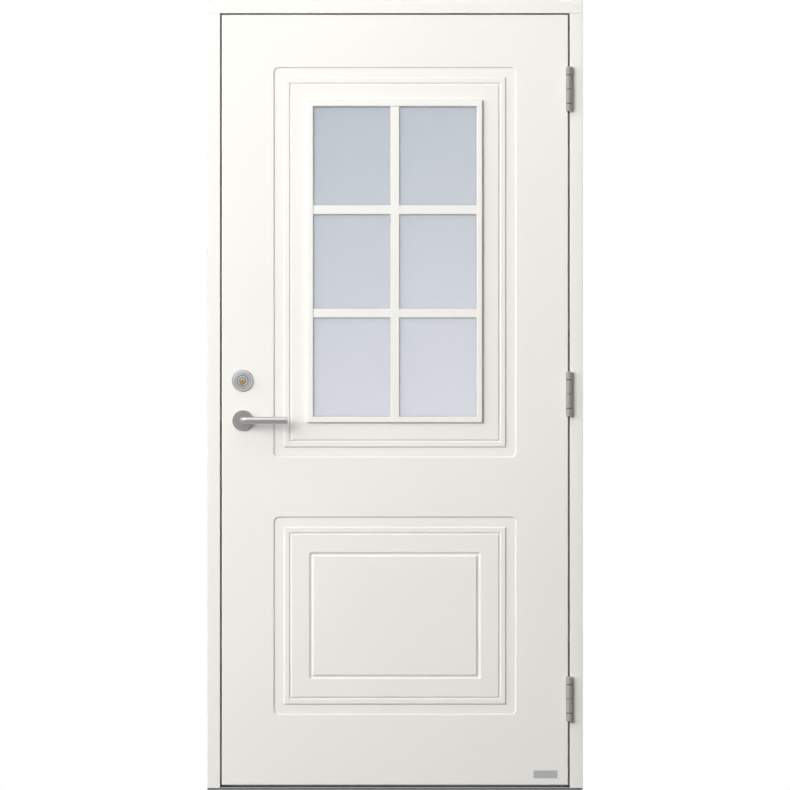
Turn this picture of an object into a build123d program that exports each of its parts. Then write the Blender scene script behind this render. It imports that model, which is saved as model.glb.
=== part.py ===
"""A panelled front door: an insulated, part-glazed leaf hung in its wooden frame.

Millimetres. X runs along the wall with the hinges at +X, Y runs from the outside (-Y) to the inside (+Y)
and Z is up. The origin is at the middle of the underside of the sill.
"""
from build123d import *
import os

# Frame
frame_width = 990.0
frame_height = 2090.0
frame_depth = 105.0
jamb_face = 34.0
head_face = 34.0
stop_step = 14.0
frame_arris = 1.5

# Sill
sill_seat = 12.0
sill_plate_thickness = 2.5
threshold_height = 30.0
sill_drip_height = 3.0
sill_drip_depth = 6.0
sill_plate_setback = 1.0
tread_groove_count = 5
tread_groove_pitch = 6.0
tread_groove_width = 2.0
tread_groove_depth = 0.8
sill_channel_wall = 1.5

# Leaf
leaf_thickness = 62.0
leaf_setback = 1.0
leaf_gap = 4.0
leaf_lift = 5.5
leaf_arris = 2.0
skin_thickness = 9.0
lock_stile_width = 107.0
hinge_stile_width = 75.0
top_rail_height = 75.0
bottom_rail_height = 100.0
light_frame_width = 35.0

# Weather seal between the leaf and the stop
seal_space = 4.0
seal_clearance = 0.3
seal_width = 7.0
seal_edge = 2.5
seal_stem_width = 3.0
seal_stem_depth = 6.0
seal_round = 1.4

# Routed mouldings
panel_side_margin = 137.0
panel_top_margin = 138.0
lower_panel_lift = 185.5
lower_panel_height = 522.5
panel_spacing = 156.0
band_width = 29.0
band_depth = 3.0
band_wall_angle = 35.0
vee_offset = 41.0
vee_width = 6.4
vee_depth = 3.0
vee_floor = 0.6
cove_offset = 94.5
cove_width = 10.5
cove_depth = 3.5

# Glazing
glazing_width = 462.0
glazing_lift = 92.0
glazing_drop = 88.0
bead_face = 16.0
bead_height = 9.0
bead_lap = 4.0
bead_round = 3.0
bead_clearance = 0.3
bead_tape = 1.0
muntin_width = 24.0
muntin_height = 7.5
muntin_round = 2.5
pane_columns = 2
pane_rows = 3
pane_thickness = 4.0
spacer_gap = 16.0
spacer_width = 8.0
glass_clearance = 3.0
setting_block_length = 80.0
setting_block_inset = 60.0

# Handle
handle_backset = 55.0
handle_height = 982.0
handle_bar_diameter = 18.8
handle_reach = 118.5
handle_standoff = 55.0
handle_bend = 11.0
handle_end_round = 1.5
rose_diameter = 55.0
rose_thickness = 8.0
rose_edge = 1.5
spindle_square = 8.0
spindle_engagement = 30.0
turning_clearance = 0.3
rose_screw_spacing = 38.0
rose_screw_diameter = 5.0
rose_screw_engagement = 5.0

# Lock
lock_spacing = 105.0
key_drop = 5.0
forend_width = 22.0
forend_height = 240.0
forend_thickness = 3.0
forend_drop = 74.0
case_depth = 78.0
case_height = 195.0
case_drop = 52.0
case_thickness = 16.0
case_wall = 1.5
case_clearance = 0.3
follower_diameter = 22.0
follower_journal = 15.4
follower_arm = 14.0
follower_arm_width = 6.0
latch_thickness = 12.0
latch_height = 20.0
latch_rise = 18.0
latch_throw = 12.0
latch_nose = 2.0
latch_head_length = 14.0
latch_tail_height = 6.0
latch_tail_thickness = 6.0
latch_hook_length = 6.0
latch_hook_drop = 7.0
latch_tail_clearance = 1.0
bolt_thickness = 12.0
bolt_height = 34.0
bolt_drop = 22.0
bolt_throw = 20.0
bolt_head_length = 21.0
bolt_tail_thickness = 5.0
bolt_tail_height = 24.5
bolt_tail_drop = 7.5
bolt_setback = 0.5
cam_hub_diameter = 13.0
cam_pin_diameter = 6.0
cam_arm_radius = 14.0
cam_arm_thickness = 3.0
cam_slot_play = 1.6
cam_slot_depth = 10.5

# Cylinder and thumb turn
ring_diameter = 57.0
ring_height = 14.0
ring_rim_diameter = 39.0
ring_base_height = 2.0
cylinder_width = 31.0
cylinder_height = 36.0
cylinder_recess = 1.0
cylinder_screw_offset = 9.0
cylinder_screw_diameter = 4.0
cylinder_screw_engagement = 8.0
cylinder_fit = 0.3
plug_diameter = 15.0
plug_fit = 0.05
plug_length = 30.0
plug_proud = 0.8
plug_tail_diameter = 7.0
keyway_width = 2.2
keyway_height = 9.0
keyway_depth = 24.0
turn_rose_diameter = 52.0
turn_length = 34.0
turn_width = 11.0
turn_height = 20.0
turn_neck_diameter = 13.0

# Strike
strike_width = 25.0
strike_height = 205.0
strike_drop = 57.0
strike_thickness = 2.5
strike_play = 3.0
strike_side_play = 1.5
strike_box_clearance = 4.0
strike_box_wall = 1.5
strike_screw_inset = 13.0
strike_screw_pitch = 20.0

# Hinges
hinge_count = 3
hinge_drop = 196.2
hinge_lift = 227.5
hinge_stand = 9.0
knuckle_diameter = 17.0
knuckle_height = 37.0
hinge_cap_height = 22.0
knuckle_chamfer = 0.6
knuckle_clearance = 0.1
hinge_cap_taper = 1.2
hinge_cap_groove = 1.4
washer_thickness = 1.0
hinge_pin_diameter = 10.0
hinge_pin_fit = 0.05
hinge_pin_rise = 33.0
hinge_plate_thickness = 2.8
hinge_plate_width = 35.0
hinge_plate_height = 118.0
hinge_plate_round = 6.0
hinge_screw_spacing = 38.0
hinge_screw_setback = 24.0
hinge_screw_length = 32.0
hinge_screw_cover = 6.0

# Fasteners and wall fixings
screw_diameter = 4.0
screw_head_diameter = 8.4
screw_head_height = 2.3
forend_screw_length = 30.0
strike_screw_length = 25.0
corner_screw_diameter = 6.0
corner_screw_length = 90.0
corner_screw_inset = 17.0
corner_screw_spacing = 52.0
fixing_count = 4
fixing_low = 220.0
fixing_drop = 220.0
fixing_setback = 19.0
sleeve_diameter = 14.0
sleeve_bore = 9.0
sleeve_length = 44.0

# Places that follow from the sizes above
frame_left = -frame_width / 2
frame_right = frame_width / 2
frame_front = -frame_depth / 2
frame_back = frame_depth / 2
jamb_inner = frame_width / 2 - jamb_face
stop_inner = jamb_inner - stop_step
head_under = frame_height - head_face
head_stop_under = head_under - stop_step
leaf_half = jamb_inner - leaf_gap
leaf_top = head_under - leaf_gap
sill_plate_top = sill_seat + sill_plate_thickness
leaf_bottom = sill_plate_top + leaf_lift
leaf_front = frame_front + leaf_setback
leaf_back = leaf_front + leaf_thickness
leaf_middle = (leaf_front + leaf_back) / 2
core_front = leaf_front + skin_thickness
core_back = leaf_back - skin_thickness
stop_front = leaf_back + seal_space
panel_width = 2 * (leaf_half - panel_side_margin)
lower_panel_bottom = leaf_bottom + lower_panel_lift
lower_panel_top = lower_panel_bottom + lower_panel_height
upper_panel_bottom = lower_panel_top + panel_spacing
upper_panel_top = leaf_top - panel_top_margin
glazing_bottom = upper_panel_bottom + glazing_lift
glazing_top = upper_panel_top - glazing_drop
glazing_height = glazing_top - glazing_bottom
glazing_middle = (glazing_bottom + glazing_top) / 2
aperture_width = glazing_width - 2 * bead_lap
aperture_height = glazing_height - 2 * bead_lap
daylight_width = glazing_width - 2 * bead_face
daylight_height = glazing_height - 2 * bead_face
glass_width = aperture_width - 2 * glass_clearance
glass_height = aperture_height - 2 * glass_clearance
handle_x = -leaf_half + handle_backset
cylinder_z = handle_height + lock_spacing
key_z = cylinder_z - key_drop
case_bottom = handle_height - case_drop
case_right = -leaf_half + forend_thickness + case_depth
hinge_x = leaf_half + leaf_gap / 2
hinge_top = leaf_top - hinge_drop
hinge_pitch = (hinge_top - leaf_bottom - hinge_lift) / (hinge_count - 1)
hinge_y = frame_front - hinge_stand
fixing_pitch = (frame_height - fixing_drop - fixing_low) / (fixing_count - 1)
bolt_reach = bolt_throw - bolt_setback - leaf_gap
strike_box_depth = bolt_reach - strike_thickness + strike_box_clearance + strike_box_wall


def block(x, y, z):
    """A box given its low and high value along each axis."""
    box = Box(x[1] - x[0], y[1] - y[0], z[1] - z[0])
    return Pos((x[0] + x[1]) / 2, (y[0] + y[1]) / 2, (z[0] + z[1]) / 2) * box


def rod(radius, start, end):
    """A round bar between two points."""
    start, end = Vector(*start), Vector(*end)
    return extrude(Plane(origin=start, z_dir=end - start) * Circle(radius), (end - start).length)


def turned(points, base, along):
    """A turned piece: radius and height pairs spun about a line that starts at base."""
    along = Vector(*along)
    side = Vector(0, 0, 1) if abs(along.X) > 0.5 else Vector(1, 0, 0)
    plane = Plane(origin=base, x_dir=side, z_dir=side.cross(along))
    return revolve(plane * make_face(Polyline(*points, close=True)), Axis(base, along))


def facing(y, inward):
    """A drawing plane on a face of the leaf, with its normal pointing into the leaf."""
    side = -1 if inward > 0 else 1
    return Plane(origin=(0, y, 0), x_dir=(side, 0, 0), z_dir=(0, inward, 0))


def rectangle(width, height, middle_z, corner=0.0):
    """A flat rectangle centred on the door's middle line."""
    shape = RectangleRounded(width, height, corner) if corner else Rectangle(width, height)
    return Pos(0, middle_z) * shape


def round_bar_end(shape, axis, radius):
    """The same bar with the rim of its far end rounded."""
    return fillet(shape.faces().sort_by(axis)[-1].edges(), radius)


def countersunk_screw(head, along, length, diameter=screw_diameter):
    """A countersunk screw with its flat head's face at one point."""
    scale = diameter / screw_diameter
    head_radius = screw_head_diameter / 2 * scale
    head_height = screw_head_height * scale
    radius = diameter / 2
    outline = [(0, 0), (head_radius, 0), (radius, head_height), (radius, length), (0, length)]
    return turned(outline, head, along)


def group(shapes):
    """Several separate solids kept together as one named piece."""
    return Compound(children=[solid for shape in shapes for solid in shape.solids()])


# Hinges

def hinge_heights():
    """The middle height of each hinge, from the top one down."""
    return [hinge_top - i * hinge_pitch for i in range(hinge_count)]


def barrel(low, high, bore):
    """A length of hinge barrel with a bore and eased rims."""
    radius = knuckle_diameter / 2
    ease = knuckle_chamfer
    height = high - low
    outline = [(bore, 0), (radius - ease, 0), (radius, ease), (radius, height - ease),
               (radius - ease, height), (bore, height)]
    return turned(outline, (hinge_x, hinge_y, low), (0, 0, 1))


def hinge_plate(side, middle, neck_low, neck_high):
    """The plate of one hinge half, let into the edge beside the gap, and the neck that meets the barrel."""
    near = hinge_x + side * leaf_gap / 2
    far = near + side * hinge_plate_thickness
    x = (min(near, far), max(near, far))
    front = leaf_front if side < 0 else frame_front
    plane = Plane(origin=(x[0], front + hinge_plate_width / 2, middle), x_dir=(0, 1, 0), z_dir=(1, 0, 0))
    outline = Rectangle(hinge_plate_width, hinge_plate_height)
    outline = fillet(outline.vertices().sort_by(Axis.X)[-2:], hinge_plate_round)
    plate = extrude(plane * outline, hinge_plate_thickness)
    neck = block(x, (hinge_y, front + hinge_plate_round), (neck_low, neck_high))
    return plate, neck


def hinge_screws(side, middle):
    """The screws of one hinge plate, driven sideways into the wood."""
    near = hinge_x + side * leaf_gap / 2
    front = leaf_front if side < 0 else frame_front
    y = front + hinge_screw_setback
    length = hinge_screw_length if side < 0 else jamb_face - hinge_screw_cover
    return [
        countersunk_screw((near, y, middle + i * hinge_screw_spacing), (side, 0, 0), length) for i in (-1, 0, 1)
    ]


def hinge_half(side, middle):
    """One half of a hinge: its knuckle, neck and screwed plate in one piece."""
    reach = washer_thickness / 2
    if side < 0:
        low, high = middle + reach + knuckle_clearance, middle + knuckle_height
        bore = hinge_pin_diameter / 2 + hinge_pin_fit
    else:
        low, high = middle - knuckle_height, middle - reach
        bore = hinge_pin_diameter / 2
    plate, neck = hinge_plate(side, middle, low, high)
    hole = rod(bore, (hinge_x, hinge_y, low), (hinge_x, hinge_y, high))
    half = barrel(low, high, bore) + plate + (neck - hole)
    for screw in hinge_screws(side, middle):
        half -= screw
    return half


def hinge_pocket(side, middle):
    """The recess for one hinge plate, open at the front for the neck."""
    reach = washer_thickness / 2
    low = middle + reach if side < 0 else middle - knuckle_height
    high = middle + knuckle_height if side < 0 else middle - reach
    plate, neck = hinge_plate(side, middle, low, high)
    return plate + neck


def hinge_pin(middle):
    """The pin that stands in the frame half's knuckle."""
    return rod(hinge_pin_diameter / 2, (hinge_x, hinge_y, middle - knuckle_height),
               (hinge_x, hinge_y, middle + hinge_pin_rise))


def hinge_washer(middle):
    """The bearing ring between the knuckles."""
    low = middle - washer_thickness / 2
    outer = knuckle_diameter / 2 - knuckle_chamfer
    ring = rod(outer, (hinge_x, hinge_y, low), (hinge_x, hinge_y, low + washer_thickness))
    return ring - hinge_pin(middle)


def hinge_cap(middle, up):
    """The long cap that closes one end of the barrel."""
    radius = knuckle_diameter / 2
    ease = knuckle_chamfer
    height = hinge_cap_height
    taper = hinge_cap_taper
    groove = hinge_cap_groove
    outline = [(0, 0), (radius - groove, 0), (radius - groove, groove), (radius - ease, groove),
               (radius, groove + ease), (radius, height - taper), (radius - taper, height), (0, height)]
    return turned(outline, (hinge_x, hinge_y, middle + up * knuckle_height), (0, 0, up))


# Frame

def seal_ring():
    """The weather seal that runs round the stop: a soft bulb and the stem that holds it in its groove."""
    width = 2 * (stop_inner + seal_edge)
    bottom = threshold_height - seal_edge
    top = head_stop_under + seal_edge
    middle = (bottom + top) / 2
    height = top - bottom
    bulb = seal_space - seal_clearance
    face = Plane(origin=(0, stop_front, 0), x_dir=(1, 0, 0), z_dir=(0, -1, 0))
    outer = extrude(face * rectangle(width + 2 * seal_width, height + 2 * seal_width, middle), bulb)
    inner = extrude(face * rectangle(width, height, middle), bulb)
    ring = outer - inner
    front_edges = ring.edges().filter_by(lambda edge: abs(edge.center().Y - (stop_front - bulb)) < 0.01)
    ring = chamfer(front_edges, seal_round)
    lap = (seal_width - seal_stem_width) / 2
    stem = seal_stem_ring(width + 2 * lap, height + 2 * lap, middle)
    return ring + stem


def seal_stem_ring(width, height, middle):
    """The stem of the seal, which is also the shape of its groove."""
    face = Plane(origin=(0, stop_front + seal_stem_depth, 0), x_dir=(1, 0, 0), z_dir=(0, -1, 0))
    outer = rectangle(width + 2 * seal_stem_width, height + 2 * seal_stem_width, middle)
    return extrude(face * (outer - rectangle(width, height, middle)), seal_stem_depth)


def corner_screws():
    """The long screws that pull the frame's corners together, from the head and from the sill."""
    screws = []
    for side in (-1, 1):
        x = side * (frame_width / 2 - corner_screw_inset)
        for y in (-corner_screw_spacing / 2, corner_screw_spacing / 2):
            for z, up in ((frame_height, -1), (0, 1)):
                screws.append(
                    countersunk_screw((x, y, z), (0, 0, up), corner_screw_length, corner_screw_diameter)
                )
    return screws


def fixing_heights():
    """The heights of the wall fixings in each jamb."""
    return [fixing_low + i * fixing_pitch for i in range(fixing_count)]


def fixing_sleeves():
    """The tubes in the jambs through which the frame is screwed to the wall."""
    sleeves = []
    y = frame_back - fixing_setback
    for side in (-1, 1):
        for z in fixing_heights():
            start = (side * frame_width / 2, y, z)
            end = (side * (frame_width / 2 - sleeve_length), y, z)
            sleeves.append(rod(sleeve_diameter / 2, start, end) - rod(sleeve_bore / 2, start, end))
    return sleeves


def sleeve_holes(side):
    """The holes for the sleeves of one jamb, right through the jamb and its stop."""
    y = frame_back - fixing_setback
    outer = side * frame_width / 2
    inner = side * stop_inner
    return [rod(sleeve_diameter / 2, (outer, y, z), (inner, y, z)) for z in fixing_heights()]


def jamb_blank(side):
    """One jamb's plain length, with its visible edge eased and drilled for the sleeves."""
    face = side * jamb_inner
    x = sorted((side * frame_width / 2, face))
    blank = block(x, (frame_front, frame_back), (sill_seat, head_under))
    front = blank.edges().filter_by(Axis.Z).filter_by(
        lambda edge: abs(edge.center().X - face) < 0.01 and abs(edge.center().Y - frame_front) < 0.01)
    blank = fillet(front, frame_arris)
    for hole in sleeve_holes(side):
        blank -= hole
    return blank


def frame_stops():
    """The battens that the leaf closes against, one on each jamb and one under the head."""
    y = (stop_front, frame_back)
    stops = [block((-stop_inner, stop_inner), y, (head_stop_under, head_under))]
    for side in (-1, 1):
        stop = block(sorted((side * jamb_inner, side * stop_inner)), y, (sill_seat, head_under))
        for hole in sleeve_holes(side):
            stop -= hole
        stops.append(stop)
    return stops


def make_frame_head():
    """The head, which runs over both jambs."""
    head = block((frame_left, frame_right), (frame_front, frame_back), (head_under, frame_height))
    front = head.edges().filter_by(Axis.X).filter_by(
        lambda edge: abs(edge.center().Z - head_under) < 0.01 and abs(edge.center().Y - frame_front) < 0.01)
    return fillet(front, frame_arris)


def make_sill_base():
    """The sill: a seat under the jambs, a drip rebate in front and a raised threshold between the jambs."""
    raised = threshold_height - sill_plate_thickness
    base = block((frame_left, frame_right), (frame_front, frame_back), (0, sill_seat))
    rebate = block((frame_left, frame_right), (frame_front, frame_front + sill_drip_depth),
                   (sill_seat - sill_drip_height, sill_seat))
    riser_back = stop_front + sill_plate_thickness
    step = block((-stop_inner, stop_inner), (riser_back, frame_back), (sill_seat, raised))
    return (base - rebate) + (step - sill_seal_channel())


def sill_seal_channel():
    """The channel in the sill plate that holds the seal's stem."""
    middle = threshold_height - seal_edge - seal_width / 2
    half = seal_stem_width / 2 + sill_channel_wall
    return block((-stop_inner, stop_inner), (stop_front, stop_front + seal_stem_depth + sill_channel_wall),
                 (middle - half, middle + half))


def make_sill_plate():
    """The folded metal plate over the sill, with grooves to tread on."""
    nose = frame_front + sill_plate_setback
    riser_back = stop_front + sill_plate_thickness
    raised = threshold_height - sill_plate_thickness
    flange = block((-jamb_inner, jamb_inner), (nose, stop_front), (sill_seat, sill_plate_top))
    foot = block((-stop_inner, stop_inner), (stop_front, riser_back), (sill_seat, threshold_height))
    top = block((-stop_inner, stop_inner), (riser_back, frame_back), (raised, threshold_height))
    plate = flange + foot + top + sill_seal_channel()
    first = frame_back - tread_groove_pitch
    for i in range(tread_groove_count):
        y = first - i * tread_groove_pitch
        plate -= block((-stop_inner, stop_inner), (y - tread_groove_width, y),
                       (threshold_height - tread_groove_depth, threshold_height))
    return plate


# Strike in the lock jamb

def strike_outline(x, thickness):
    """The strike plate's blank, and the recess for it."""
    plane = Plane(origin=(x, leaf_middle, handle_height - strike_drop + strike_height / 2),
                  x_dir=(0, 1, 0), z_dir=(1, 0, 0))
    return extrude(plane * SlotOverall(strike_height, strike_width, rotation=90), thickness)


def keep_hole(bottom, top, thickness, x):
    """The space that the strike leaves for a bolt or latch."""
    half = thickness / 2 + strike_side_play
    return block(x, (leaf_middle - half, leaf_middle + half), (bottom - strike_play, top + strike_play))


def latch_zone():
    """The latch head's lowest and highest point."""
    middle = handle_height + latch_rise
    return middle - latch_height / 2, middle + latch_height / 2


def bolt_zone():
    """The deadbolt's lowest and highest point."""
    middle = key_z - bolt_drop
    return middle - bolt_height / 2, middle + bolt_height / 2


def strike_screws():
    """The screws at both ends of the strike plate."""
    low = handle_height - strike_drop + strike_screw_inset
    high = handle_height - strike_drop + strike_height - strike_screw_inset
    heights = (low, low + strike_screw_pitch, high - strike_screw_pitch, high)
    return [countersunk_screw((-jamb_inner, leaf_middle, z), (-1, 0, 0), strike_screw_length) for z in heights]


def make_strike_plate():
    """The plate in the lock jamb that the latch and the deadbolt enter."""
    x = (-jamb_inner - strike_thickness, -jamb_inner)
    plate = strike_outline(x[0], strike_thickness)
    plate -= keep_hole(*latch_zone(), latch_thickness, x)
    plate -= keep_hole(*bolt_zone(), bolt_thickness, x)
    for screw in strike_screws():
        plate -= screw
    return plate


def make_strike_box():
    """The box behind the strike plate, open towards the leaf."""
    return strike_box_block(0) - strike_box_block(strike_box_wall)


def strike_box_block(wall):
    """The outside of the strike box, or its hollow where a wall is given."""
    mouth = -jamb_inner - strike_thickness
    half = bolt_thickness / 2 + strike_side_play + strike_box_wall - wall
    low = latch_zone()[0] - strike_play - strike_box_wall + wall
    high = bolt_zone()[1] + strike_play + strike_box_wall - wall
    x = (mouth - strike_box_depth + wall, mouth)
    return block(x, (leaf_middle - half, leaf_middle + half), (low, high))


def make_lock_jamb():
    """The jamb on the lock side, cut for the strike."""
    jamb = jamb_blank(-1)
    jamb -= strike_outline(-jamb_inner - strike_thickness, strike_thickness)
    jamb -= strike_box_block(0)
    for screw in strike_screws():
        jamb -= screw
    return jamb


def make_hinge_jamb():
    """The jamb on the hinge side, cut for the hinge plates."""
    jamb = jamb_blank(1)
    for middle in hinge_heights():
        jamb -= hinge_pocket(1, middle)
        for screw in hinge_screws(1, middle):
            jamb -= screw
    return jamb


# Leaf

def routed_band(plane, width, height, middle):
    """The shallow band left by a wide flat-ended cutter: round outer corners, sharp inner ones."""
    outer = rectangle(width, height, middle, band_width / 2)
    inner = rectangle(width - 2 * band_width, height - 2 * band_width, middle)
    pocket = extrude(plane * outer, band_depth, taper=band_wall_angle)
    return pocket - extrude(plane * inner, band_depth, taper=-band_wall_angle)


def vee_groove(plane, width, height, middle):
    """A narrow groove with sloping walls and sharp corners."""
    slope = degrees_of((vee_width - vee_floor) / 2, vee_depth)
    outer = rectangle(width, height, middle)
    inner = rectangle(width - 2 * vee_width, height - 2 * vee_width, middle)
    pocket = extrude(plane * outer, vee_depth, taper=slope)
    return pocket - extrude(plane * inner, vee_depth, taper=-slope)


def degrees_of(across, deep):
    """The angle from the normal of a wall that moves across while it goes deep."""
    return Vector(0, deep).get_angle(Vector(across, deep))


def cove_groove(y, inward, width, height, middle):
    """The round-bottomed groove left by a ball-ended cutter, as the lengths and corner balls to cut away."""
    radius = (cove_width ** 2 / 4 + cove_depth ** 2) / (2 * cove_depth)
    centre = y - inward * (radius - cove_depth)
    half = (width - cove_width) / 2
    low = middle - (height - cove_width) / 2
    high = middle + (height - cove_width) / 2
    corners = [(-half, centre, low), (half, centre, low), (half, centre, high), (-half, centre, high)]
    lengths = [rod(radius, corners[i - 1], corners[i]) for i in range(4)]
    balls = [Pos(*corner) * Sphere(radius) for corner in corners]
    return lengths + balls


def routed_mouldings(y, inward):
    """Every moulding cut of one face of the leaf."""
    plane = facing(y, inward)
    cuts = []
    for bottom, top in ((lower_panel_bottom, lower_panel_top), (upper_panel_bottom, upper_panel_top)):
        middle = (bottom + top) / 2
        height = top - bottom
        cuts.append(routed_band(plane, panel_width, height, middle))
        cuts.append(vee_groove(plane, panel_width - 2 * vee_offset, height - 2 * vee_offset, middle))
    height = lower_panel_top - lower_panel_bottom - 2 * cove_offset
    middle = (lower_panel_bottom + lower_panel_top) / 2
    cuts += cove_groove(y, inward, panel_width - 2 * cove_offset, height, middle)
    return cuts


def make_skin(front):
    """One face board of the leaf, routed on its outside and cut out for the glass."""
    y = (leaf_front, core_front) if front else (core_back, leaf_back)
    face_y = leaf_front if front else leaf_back
    skin = block((-leaf_half, leaf_half), y, (leaf_bottom, leaf_top))
    rim = skin.faces().sort_by(Axis.Y)[0 if front else -1].edges()
    skin = fillet(rim, leaf_arris)
    aperture = block((-aperture_width / 2, aperture_width / 2), y,
                     (glazing_middle - aperture_height / 2, glazing_middle + aperture_height / 2))
    skin -= aperture
    for cut in routed_mouldings(face_y, 1 if front else -1):
        skin -= cut
    return skin


def handle_rod(radius, y):
    """A round on the handle's axis between two depths."""
    return rod(radius, (handle_x, y[0], handle_height), (handle_x, y[1], handle_height))


def spindle_hole(y):
    """The round hole for the handle's neck and spindle."""
    return handle_rod(handle_bar_diameter / 2 + 2 * turning_clearance, y)


def cylinder_slot(y, clearance):
    """The upright oval of the cylinder body between two depths."""
    plane = Plane(origin=(handle_x, y[0], cylinder_z), x_dir=(-1, 0, 0), z_dir=(0, 1, 0))
    width = cylinder_width + 2 * clearance
    height = cylinder_height + 2 * clearance
    return extrude(plane * SlotOverall(height, width, rotation=90), y[1] - y[0])


def tailpiece_hole(y):
    """The hole through the inside of the leaf for the thumb turn's neck and the cylinder screws."""
    radius = cylinder_screw_offset * 2 ** 0.5 + cylinder_screw_diameter
    return rod(radius, (handle_x, y[0], key_z), (handle_x, y[1], key_z))


def rose_screw_places():
    """The bolts either side of the spindle, by X."""
    return [handle_x - rose_screw_spacing / 2, handle_x + rose_screw_spacing / 2]


def rose_screws():
    """The bolts that clamp both handle roses to the leaf from the inside."""
    head = leaf_back + rose_thickness
    length = head - (leaf_front - rose_screw_engagement)
    return [
        countersunk_screw((x, head, handle_height), (0, -1, 0), length, rose_screw_diameter)
        for x in rose_screw_places()
    ]


def cylinder_screws():
    """The bolts that pull the cylinder to the thumb turn's rose from the inside."""
    head = leaf_back + rose_thickness
    length = head - (leaf_middle - case_thickness / 2) + cylinder_screw_engagement
    z = key_z + cylinder_screw_offset
    return [
        countersunk_screw((handle_x + side * cylinder_screw_offset, head, z), (0, -1, 0), length,
                          cylinder_screw_diameter)
        for side in (-1, 1)
    ]


def case_y(inset=0.0):
    """The lock case's depth range through the leaf."""
    return leaf_middle - case_thickness / 2 + inset, leaf_middle + case_thickness / 2 - inset


def make_lock_case():
    """The lock case: a thin metal box with a way through for each moving piece."""
    left = -leaf_half + forend_thickness
    outer = block((left, case_right), case_y(), (case_bottom, case_bottom + case_height))
    hollow = block((left, case_right - case_wall), case_y(case_wall),
                   (case_bottom + case_wall, case_bottom + case_height - case_wall))
    case = outer - hollow
    y = case_y()
    case -= handle_rod(follower_journal / 2 + turning_clearance, y)
    case -= rod(cam_hub_diameter / 2 + turning_clearance, (handle_x, y[0], key_z), (handle_x, y[1], key_z))
    for screw in rose_screws() + cylinder_screws():
        case -= screw
    return case


def forend_outline(thickness):
    """The forend's blank, and the recess for it."""
    plane = Plane(origin=(-leaf_half, leaf_middle, handle_height - forend_drop + forend_height / 2),
                  x_dir=(0, 1, 0), z_dir=(1, 0, 0))
    return extrude(plane * SlotOverall(forend_height, forend_width, rotation=90), thickness)


def forend_screws():
    """The two screws of the forend."""
    low = handle_height - forend_drop + forend_width / 2
    heights = (low, low + forend_height - forend_width)
    return [countersunk_screw((-leaf_half, leaf_middle, z), (1, 0, 0), forend_screw_length) for z in heights]


def make_forend():
    """The lock's front plate in the edge of the leaf."""
    plate = forend_outline(forend_thickness)
    x = (-leaf_half, -leaf_half + forend_thickness)
    for (low, high), thickness in ((latch_zone(), latch_thickness), (bolt_zone(), bolt_thickness)):
        half = thickness / 2 + turning_clearance
        z = (low - turning_clearance, high + turning_clearance)
        plate -= block(x, (leaf_middle - half, leaf_middle + half), z)
    for screw in forend_screws():
        plate -= screw
    return plate


def make_lock_stile():
    """The lock-side stile, mortised for the lock."""
    stile = block((-leaf_half, -leaf_half + lock_stile_width), (core_front, core_back), (leaf_bottom, leaf_top))
    gap = case_clearance
    y = case_y(-gap)
    stile -= forend_outline(forend_thickness)
    stile -= block((-leaf_half, case_right + gap), y, (case_bottom - gap, case_bottom + case_height + gap))
    stile -= spindle_hole((core_front, core_back))
    stile -= cylinder_slot((core_front, leaf_middle), cylinder_fit)
    stile -= tailpiece_hole((leaf_middle, core_back))
    for screw in rose_screws() + forend_screws():
        stile -= screw
    return stile


def make_hinge_stile():
    """The hinge-side stile, cut for the hinge plates."""
    stile = block((leaf_half - hinge_stile_width, leaf_half), (core_front, core_back), (leaf_bottom, leaf_top))
    for middle in hinge_heights():
        stile -= hinge_pocket(-1, middle)
        for screw in hinge_screws(-1, middle):
            stile -= screw
    return stile


def make_outer_skin():
    """The outside face board with its holes for the handle, the cylinder and the hinges."""
    skin = make_skin(True)
    y = (leaf_front, core_front)
    skin -= spindle_hole(y)
    skin -= cylinder_slot(y, cylinder_fit)
    for screw in rose_screws():
        skin -= screw
    for middle in hinge_heights():
        skin -= hinge_pocket(-1, middle)
    return skin


def make_inner_skin():
    """The inside face board with its holes for the handle and the thumb turn."""
    skin = make_skin(False)
    y = (core_back, leaf_back)
    skin -= spindle_hole(y)
    skin -= tailpiece_hole(y)
    for screw in rose_screws():
        skin -= screw
    return skin


def rail(bottom, top):
    """A rail between the two stiles."""
    left = -leaf_half + lock_stile_width
    right = leaf_half - hinge_stile_width
    return block((left, right), (core_front, core_back), (bottom, top))


def light_outline(grow):
    """A rectangle round the glazing aperture, grown by a width."""
    half = aperture_width / 2 + grow
    reach = aperture_height / 2 + grow
    return block((-half, half), (core_front, core_back), (glazing_middle - reach, glazing_middle + reach))


def light_rails():
    """The two short timbers above and below the glass."""
    half = aperture_width / 2
    low = glazing_middle - aperture_height / 2
    high = glazing_middle + aperture_height / 2
    return [
        block((-half, half), (core_front, core_back), (low - light_frame_width, low)),
        block((-half, half), (core_front, core_back), (high, high + light_frame_width)),
    ]


def light_stiles():
    """The two timbers beside the glass."""
    near = aperture_width / 2
    far = near + light_frame_width
    reach = aperture_height / 2 + light_frame_width
    z = (glazing_middle - reach, glazing_middle + reach)
    y = (core_front, core_back)
    return [block((-far, -near), y, z), block((near, far), y, z)]


def make_insulation_core():
    """The foam between the timbers, in one piece round the glazing timbers."""
    return rail(leaf_bottom + bottom_rail_height, leaf_top - top_rail_height) - light_outline(light_frame_width)


# Glazing

def pane(front):
    """One sheet of glass whose outer side is at a given depth."""
    return block((-glass_width / 2, glass_width / 2), (front, front + pane_thickness),
                 (glazing_middle - glass_height / 2, glazing_middle + glass_height / 2))


def pane_front(index):
    """The depth of a pane, counted from the outside."""
    return core_front + index * (pane_thickness + spacer_gap)


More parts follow.
